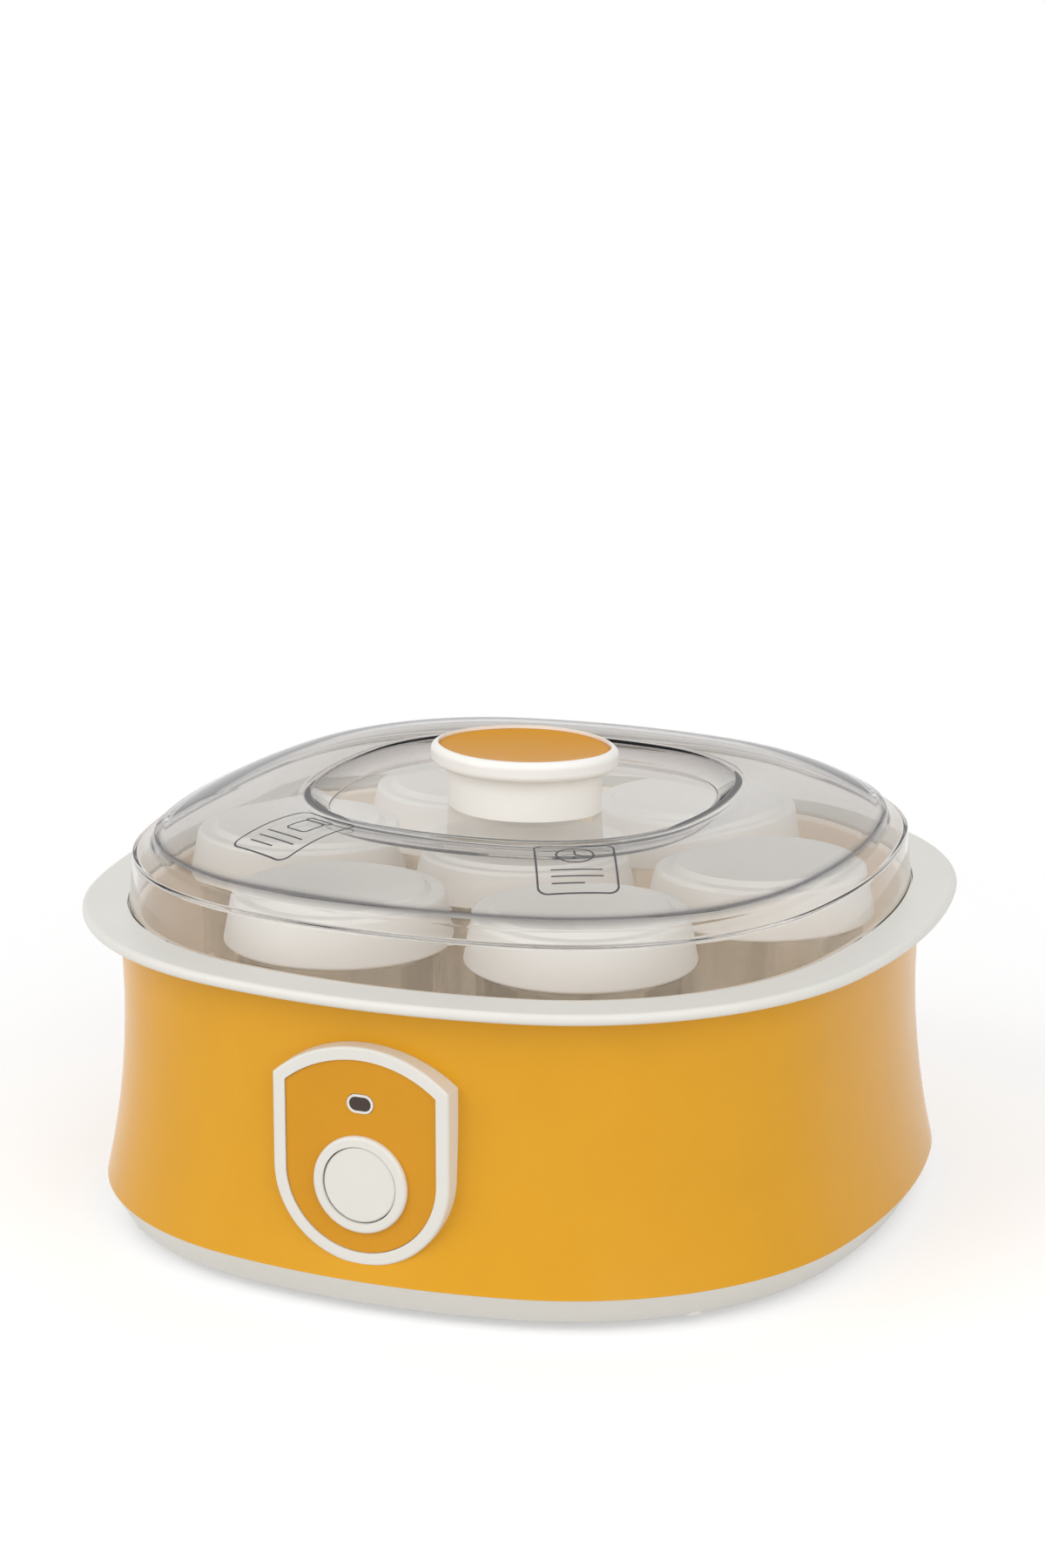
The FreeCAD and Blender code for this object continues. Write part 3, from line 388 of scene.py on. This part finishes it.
class Shader:
    """A node material with one Principled shader."""

    def __init__(self, name):
        self.material = bpy.data.materials.new(name)
        self.material.use_nodes = True
        self.tree = self.material.node_tree
        self.main = self.tree.nodes["Principled BSDF"]
        self.place = self.add("ShaderNodeTexCoord").outputs["Object"]

    def add(self, kind, **settings):
        """New node with its settings."""
        node = self.tree.nodes.new(kind)
        for key, value in settings.items():
            setattr(node, key, value)
        return node

    def link(self, source, target):
        """Joins an output to an input."""
        self.tree.links.new(source, target)

    def drive(self, source, name):
        """Joins an output to a named input of the main shader."""
        self.link(source, self.main.inputs[name])

    def set(self, **values):
        """Plain values on the main shader, named with underscores."""
        for key, value in values.items():
            self.main.inputs[key.replace("_", " ")].default_value = value

    def noise(self, scale, detail, roughness=0.55, place=None):
        """Noise over the piece, in metres."""
        node = self.add("ShaderNodeTexNoise")
        node.inputs["Scale"].default_value = scale
        node.inputs["Detail"].default_value = detail
        node.inputs["Roughness"].default_value = roughness
        self.link(place or self.place, node.inputs["Vector"])
        return node.outputs["Fac"]

    def spread(self, fac, low, high, start=0.3, end=0.7):
        """Maps a factor to a range."""
        node = self.add("ShaderNodeMapRange")
        node.inputs["From Min"].default_value = start
        node.inputs["From Max"].default_value = end
        node.inputs["To Min"].default_value = low
        node.inputs["To Max"].default_value = high
        self.link(fac, node.inputs["Value"])
        return node.outputs["Result"]

    def gloss(self, fac, rough, shares):
        """Roughness that a factor spreads between two shares of its own value."""
        low, high = shares
        self.drive(self.spread(fac, rough * low, rough * high), "Roughness")

    def mix(self, fac, first, second):
        """Mix of two colours by a factor."""
        node = self.add("ShaderNodeMix", data_type="RGBA")
        self.link(fac, node.inputs["Factor"])
        for socket, value in ((node.inputs[6], first), (node.inputs[7], second)):
            if isinstance(value, tuple):
                socket.default_value = value
            else:
                self.link(value, socket)
        return node.outputs[2]

    def bump(self, height, strength, distance):
        """Bump from a height, on the main shader."""
        node = self.add("ShaderNodeBump")
        node.inputs["Strength"].default_value = strength
        node.inputs["Distance"].default_value = distance
        self.link(height, node.inputs["Height"])
        self.drive(node.outputs["Normal"], "Normal")


def shade(colour, factor):
    """Colour made lighter or darker."""
    return tuple(min(1.0, channel * factor) for channel in colour[:3]) + (1.0,)


def plastic(name, colour, rough, vary, grain, strength, shine):
    """Moulded plastic: cloudy colour, uneven gloss and a fine skin."""
    shader = Shader(name)
    cloud = shader.spread(shader.noise(scale=38, detail=4), low=0, high=1)
    shader.drive(shader.mix(cloud, shade(colour, 1 - vary), shade(colour, 1 + vary)), "Base Color")
    shader.gloss(shader.noise(scale=85, detail=3), rough, PLASTIC_GLOSS)
    shader.bump(shader.noise(scale=grain, detail=2), strength, SKIN_DEPTH)
    shader.set(Specular_IOR_Level=shine)
    return shader.material


def metal(name, colour, rough):
    """Brushed or rolled metal with fine drawn marks."""
    shader = Shader(name)
    mapping = shader.add("ShaderNodeMapping")
    mapping.inputs["Scale"].default_value = MARK_STRETCH
    shader.link(shader.place, mapping.inputs["Vector"])
    marks = shader.noise(scale=160, detail=6, roughness=0.5, place=mapping.outputs["Vector"])
    dark, light = [shade(colour, tone) for tone in METAL_TONES]
    shader.drive(shader.mix(marks, dark, light), "Base Color")
    shader.gloss(marks, rough, METAL_GLOSS)
    shader.bump(marks, MARK_STRENGTH, MARK_DEPTH)
    shader.set(Metallic=1.0)
    return shader.material


def clear(name, tint, painted_shade_tint, ior, rough, opacity):
    """Clear plastic or glass, with painted shade: a darker tint where its wall is marked as a corner."""
    shader = Shader(name)
    # painted shade: the edge attribute mixes a darker tint into the colour at the marked corners
    painted_shade_mask = shader.add("ShaderNodeAttribute", attribute_name="edge")
    cloud = shader.spread(shader.noise(scale=30, detail=3), low=0, high=1)
    body = shader.mix(cloud, shade(tint, CLEAR_CLOUD), tint)
    shader.drive(shader.mix(painted_shade_mask.outputs["Fac"], body, painted_shade_tint), "Base Color")
    shader.gloss(shader.noise(scale=120, detail=3), rough, CLEAR_GLOSS)
    shader.set(Transmission_Weight=1.0, IOR=ior, Alpha=opacity)
    return shader.material


def milky(material, passing):
    """Lets part of the light through a thin white plastic, as its shadow and its glow."""
    tree = material.node_tree
    path = tree.nodes.new("ShaderNodeLightPath")
    film = tree.nodes.new("ShaderNodeBsdfTransparent")
    film.inputs["Color"].default_value = passing
    surface = tree.nodes["Principled BSDF"].outputs[0]
    for ray in ("Is Shadow Ray", "Is Diffuse Ray"):
        either = tree.nodes.new("ShaderNodeMixShader")
        tree.links.new(path.outputs[ray], either.inputs[0])
        tree.links.new(surface, either.inputs[1])
        tree.links.new(film.outputs[0], either.inputs[2])
        surface = either.outputs[0]
    tree.links.new(surface, tree.nodes["Material Output"].inputs["Surface"])


def make_materials():
    """All materials of the part, by name."""
    made = {}
    for name, (colour, *rest) in PLASTICS.items():
        made[name] = plastic(name, linear(*colour), *rest)
    for name, (colour, rough) in METALS.items():
        made[name] = metal(name, linear(*colour), rough)
    for name, (tint, painted_shade_tint, *rest) in CLEARS.items():
        made[name] = clear(name, linear(*tint), linear(*painted_shade_tint), *rest)
    milky(made["cap_white"], CAP_PASSING)
    return made


def paint(obj, material):
    """One material on the whole object."""
    obj.data.materials.clear()
    obj.data.materials.append(material)


def fit(obj, body, slot, material, *replaced):
    """Puts a new piece on its body, in place of CAD nodes."""
    paint(obj, materials[material])
    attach(obj, body)
    if replaced:
        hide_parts(*replaced)


def unshaded(obj):
    """Clear piece that keeps no light from what is inside it."""
    obj.visible_shadow = False
    obj.visible_diffuse = False


def scaled_share(half):
    """How far the lid's outline has gone from an even offset to a scaled copy."""
    return min(1.0, max(0.0, (PLATEAU[0] - half) / (PLATEAU[0] - DISH[0])))


def dome_points(drop):
    """Crowned top from the plateau's edge to the dish's edge, lowered by a wall."""
    points = []
    for share in DOME_SHARES:
        half = PLATEAU[0] + share * (DISH[0] - PLATEAU[0]) - drop * (1 - 2 * share)
        rise = (DISH[1] - PLATEAU[1]) * share + 4 * DOME_BULGE * share * (1 - share)
        points.append((half, PLATEAU[1] + rise - drop, 0))
    return points


def lid_profile(wall):
    """The lid's section from the skirt's foot to the middle of the dish, moved in by a wall."""
    corners = [
        (SKIRT - wall, LID_BOTTOM, 0),
        (SHOULDER[0] - wall, SHOULDER[1] - wall, SHOULDER_ROUND),
        (RISER[0] - wall, RISER[1] - wall, RISER_ROUND),
        (PLATEAU[0] - wall, PLATEAU[1] - wall, PLATEAU_ROUND),
    ]
    corners += dome_points(wall)
    corners += [
        (DISH[0] + wall, DISH[1] - wall, DISH_ROUND),
        (DISH_FLOOR[0] + wall, DISH_FLOOR[1] - wall, DISH_FLOOR_ROUND),
        (FLOOR_MIDDLE, DISH_FLOOR[1] - wall, 0),
        (FLOOR_INNER, DISH_FLOOR[1] - wall, 0),
    ]
    return soften(corners, LID_ARC_STEPS)


def painted_shade_value(half, z):
    """Share of the painted shade tint at a point of the lid's section."""
    on_crown = DISH[0] < half < PLATEAU[0] and z > RISER[1]
    here = Vector((half, z))
    corner_painted_shade = max(1.0 - (Vector(corner) - here).length / reach for corner, reach in PAINTED_SHADE_CORNERS)
    return max(DOME_PAINTED_SHADE if on_crown else 0.0, corner_painted_shade)


def make_lid():
    """Clear lid as one closed wall, with its corners and crown marked for a painted shade tint."""
    profile = lid_profile(0) + lid_profile(LID_WALL)[::-1]
    rings = [outline_ring(half, z, scaled_share(half)) for half, z in profile]
    form = bmesh.new()
    loft(form, rings, loop=True)
    lid = mesh_object("lid_clear", form)
    crisp(lid, LID_CRISP)
    # painted shade: the edge attribute carries the darker tint at the lid's corners and on its crown
    marks = lid.data.attributes.new("edge", "FLOAT", "POINT")
    count = len(rings[0])
    for row, (half, z) in enumerate(profile):
        value = painted_shade_value(half, z)
        for index in range(count):
            marks.data[row * count + index].value = value
    fit(lid, "lid", "clear_plastic", "lid_clear", "lid_shell")
    unshaded(lid)
    return lid


def make_jars():
    """Jars with caps: one in the middle, the others round it."""
    around = JAR_COUNT - 1
    places = [(0.0, 0.0)]
    for step in range(around):
        angle = math.radians(JAR_TURN + 360 * step / around)
        places.append((JAR_PITCH * math.cos(angle), JAR_PITCH * math.sin(angle)))
    jar_profile = soften(JAR_SECTION, JAR_ARC_STEPS)
    cap_profile = soften(CAP_SECTION, CAP_ARC_STEPS)
    for number, place in enumerate(places, start=1):
        jar = lathe("jar_glass_%d" % number, jar_profile, place)
        crisp(jar, JAR_CRISP)
        fit(jar, "jar_%d" % number, "jar_glass", "jar_glass", "jar_%d" % number)
        unshaded(jar)
        cap = lathe("cap_white_%d" % number, cap_profile, place)
        crisp(cap, JAR_CRISP)
        fit(cap, "cap_%d" % number, "cap_white", "cap_white", "jar_cap_%d" % number)


def plate_outline():
    """Oval of two end arcs and two side arcs, anticlockwise, as (x, y)."""
    reach, end_radius = PLATE_END
    drop, side_radius = PLATE_SIDE
    joint = math.atan2(drop, reach)
    points = []
    for turn, centre, radius, sweep in (
        (0.0, (reach, 0), end_radius, joint),
        (math.pi / 2, (0, -drop), side_radius, math.pi / 2 - joint),
        (math.pi, (-reach, 0), end_radius, joint),
        (3 * math.pi / 2, (0, drop), side_radius, math.pi / 2 - joint),
    ):
        for step in range(PLATE_STEPS):
            angle = turn - sweep + 2 * sweep * step / PLATE_STEPS
            points.append((centre[0] + radius * math.cos(angle), centre[1] + radius * math.sin(angle)))
    return points


def make_plate():
    """Orange plate let into the knob, its top hollowed towards the middle."""
    outline = plate_outline()
    sections = [(1.0, PLATE_BOTTOM), (1.0, PLATE_TOP - PLATE_BEVEL), (PLATE_LIP, PLATE_TOP)]
    for step in range(1, PLATE_RINGS):
        share = 1 - step / PLATE_RINGS
        sections.append((PLATE_LIP * share, PLATE_TOP - PLATE_DISH * (1 - share ** PLATE_CURVE)))
    rings = [[Vector((x * size, y * size, z)) * MM for x, y in outline] for size, z in sections]
    form = bmesh.new()
    loft(form, rings, cap_ends=True)
    plate = mesh_object("knob_plate", form)
    crisp(plate, PLATE_CRISP)
    fit(plate, "lid", "panel_orange", "orange_inset", "knob_inset")


def arc_points(centre, radius, start, end, steps=10):
    """Points of an arc, in degrees."""
    angles = [math.radians(start + (end - start) * step / steps) for step in range(steps + 1)]
    return [(centre[0] + radius * math.cos(angle), centre[1] + radius * math.sin(angle)) for angle in angles]


def rounded_box(width, height, radius, centre=(0, 0)):
    """Closed rounded rectangle, anticlockwise."""
    across, up = width / 2 - radius, height / 2 - radius
    points = []
    for quarter, (x, y) in enumerate(((across, up), (-across, up), (-across, -up), (across, -up))):
        corner = (centre[0] + x, centre[1] + y)
        points += arc_points(corner, radius, 90 * quarter, 90 * quarter + 90)
    return points + points[:1]


def jar_strokes():
    """Frame with a plain jar and bars."""
    return [
        rounded_box(LABEL_WIDTH, LABEL_HEIGHT, LABEL_ROUND),
        rounded_box(width=8.4, height=8.2, radius=1.6, centre=(0, 4.4)),
        rounded_box(width=9.2, height=2.2, radius=0.6, centre=(0, 9.9)),
    ] + LABEL_BARS


def clock_strokes():
    """Frame with a plain clock and bars."""
    middle = (0, 6.2)
    return [
        rounded_box(LABEL_WIDTH, LABEL_HEIGHT, LABEL_ROUND),
        arc_points(middle, radius=5.4, start=0, end=360, steps=40),
        [(0, 9.8), middle, (2.8, 4.6)],
    ] + LABEL_BARS


def finer(line):
    """Line with points no further apart than the ink's step."""
    points = [Vector(line[0])]
    for start, end in zip(line, line[1:]):
        gap = (Vector(end) - Vector(start)).length
        count = max(1, math.ceil(gap / INK_STEP))
        points += [Vector(start).lerp(Vector(end), step / count) for step in range(1, count + 1)]
    return points


def ink_ring(points, index, place, surface):
    """Cross-section of a pen stroke on the lid, at one point of its line."""
    closed = (points[0] - points[-1]).length < NEAR_ZERO
    last = len(points) - 1
    before = points[index - 1] if index else points[last - 1 if closed else 0]
    after = points[index + 1] if index < last else points[1 if closed else last]
    along = (after - before).normalized()
    aside = Vector((-along.y, along.x)) * INK_WIDTH / 2
    turn = math.radians(place[2])
    feet = []
    for edge in (points[index] + aside, points[index] - aside):
        x = place[0] + edge.x * math.cos(turn) - edge.y * math.sin(turn)
        y = place[1] + edge.x * math.sin(turn) + edge.y * math.cos(turn)
        feet.append(surface.ray_cast(Vector((x, y, ABOVE_LID)) * MM, Vector((0, 0, -1)))[0])
    rise = Vector((0, 0, MM))
    left, right = feet
    return [
        left + rise * INK_BOTTOM,
        right + rise * INK_BOTTOM,
        right + rise * INK_TOP,
        left + rise * INK_TOP,
    ]


def make_label(name, strokes, place, surface):
    """Printed label: thin strokes that follow the lid's crown."""
    form = bmesh.new()
    for line in strokes:
        points = finer(line)
        rings = [ink_ring(points, index, place, surface) for index in range(len(points))]
        loft(form, rings, cap_ends=True)
    fit(mesh_object(name, form, smooth=False), "lid", "inner_plastic", "label_ink")


def seen_rays(tree):
    """Factor that is 1 for what the camera sees, straight, mirrored or through glass."""
    path = tree.nodes.new("ShaderNodeLightPath")
    seen = path.outputs["Is Camera Ray"]
    for ray in ("Is Glossy Ray", "Is Transmission Ray"):
        either = tree.nodes.new("ShaderNodeMath")
        either.operation = "MAXIMUM"
        tree.links.new(seen, either.inputs[0])
        tree.links.new(path.outputs[ray], either.inputs[1])
        seen = either.outputs[0]
    return seen


def floor_material():
    """Pale floor that keeps the soft shadow and goes to white further off."""
    shader = Shader("floor_white")
    cloud = shader.spread(shader.noise(scale=6, detail=3), low=0, high=1)
    shader.drive(shader.mix(cloud, *FLOOR_TONES), "Base Color")
    shader.set(Roughness=FLOOR_ROUGH, Specular_IOR_Level=FLOOR_SHINE, Emission_Color=(1, 1, 1, 1))
    seen = seen_rays(shader.tree)
    glow = shader.add("ShaderNodeMath", operation="MULTIPLY")
    shader.link(seen, glow.inputs[0])
    glow.inputs[1].default_value = FLOOR_GLOW
    shader.drive(glow.outputs[0], "Emission Strength")
    distance = shader.add("ShaderNodeVectorMath", operation="LENGTH")
    shader.link(shader.place, distance.inputs[0])
    fade = shader.spread(distance.outputs["Value"], 0, 1, FADE_START, FADE_END)
    far = shader.add("ShaderNodeMath", operation="MULTIPLY")
    shader.link(fade, far.inputs[0])
    shader.link(seen, far.inputs[1])
    backdrop = shader.add("ShaderNodeEmission")
    either = shader.add("ShaderNodeMixShader")
    shader.link(far.outputs[0], either.inputs[0])
    shader.link(shader.main.outputs[0], either.inputs[1])
    shader.link(backdrop.outputs[0], either.inputs[2])
    shader.link(either.outputs[0], shader.tree.nodes["Material Output"].inputs["Surface"])
    return shader.material


def make_stage():
    """The floor under the part."""
    mesh = bpy.data.meshes.new("floor")
    form = bmesh.new()
    bmesh.ops.create_grid(form, x_segments=FLOOR_CELLS, y_segments=FLOOR_CELLS, size=FLOOR_SIZE)
    form.to_mesh(mesh)
    form.free()
    floor = add_object("floor", mesh)
    paint(floor, floor_material())


def make_world():
    """Even white studio, plain white where the camera sees it."""
    world = bpy.data.worlds.new("studio")
    bpy.context.scene.world = world
    world.use_nodes = True
    tree = world.node_tree
    back = tree.nodes["Background"]
    back.inputs["Color"].default_value = (1, 1, 1, 1)
    strength = tree.nodes.new("ShaderNodeMapRange")
    strength.inputs["To Min"].default_value = WORLD_LIGHT
    strength.inputs["To Max"].default_value = WORLD_SEEN
    tree.links.new(seen_rays(tree), strength.inputs["Value"])
    tree.links.new(strength.outputs["Result"], back.inputs["Strength"])


def make_lamp(name, place, target, size, power):
    """Soft rectangular lamp."""
    data = bpy.data.lights.new(name, "AREA")
    data.shape = "RECTANGLE"
    data.size, data.size_y = size
    data.energy = power
    lamp = add_object(name, data)
    lamp.location = place
    lamp.rotation_euler = (Vector(target) - Vector(place)).to_track_quat("-Z", "Y").to_euler()


def make_camera():
    """Camera at the photograph's angle."""
    azimuth = math.radians(CAMERA_AZIMUTH)
    elevation = math.radians(CAMERA_ELEVATION)
    direction = Vector((
        math.sin(azimuth) * math.cos(elevation),
        -math.cos(azimuth) * math.cos(elevation),
        math.sin(elevation),
    ))
    data = bpy.data.cameras.new("camera")
    data.sensor_fit = "HORIZONTAL"
    data.sensor_width = CAMERA_SENSOR
    data.lens = CAMERA_LENS
    data.clip_start = CAMERA_NEAR
    camera = add_object("camera", data)
    camera.location = Vector(CAMERA_TARGET) + direction * CAMERA_DISTANCE
    camera.rotation_euler = (-direction).to_track_quat("-Z", "Y").to_euler()
    bpy.context.scene.camera = camera


materials = make_materials()
for name, wearers in NODE_MATERIALS.items():
    for wearer in wearers:
        paint(nodes[wearer], materials[name])

lid = make_lid()
make_jars()
make_plate()
lid_surface = BVHTree.FromPolygons(
    [vertex.co for vertex in lid.data.vertices],
    [face.vertices for face in lid.data.polygons],
)
make_label("jar_label", jar_strokes(), JAR_LABEL, lid_surface)
make_label("clock_label", clock_strokes(), CLOCK_LABEL, lid_surface)

make_stage()
make_world()
for lamp in LAMPS:
    make_lamp(*lamp)
make_camera()
bpy.context.scene.view_settings.view_transform = "Standard"
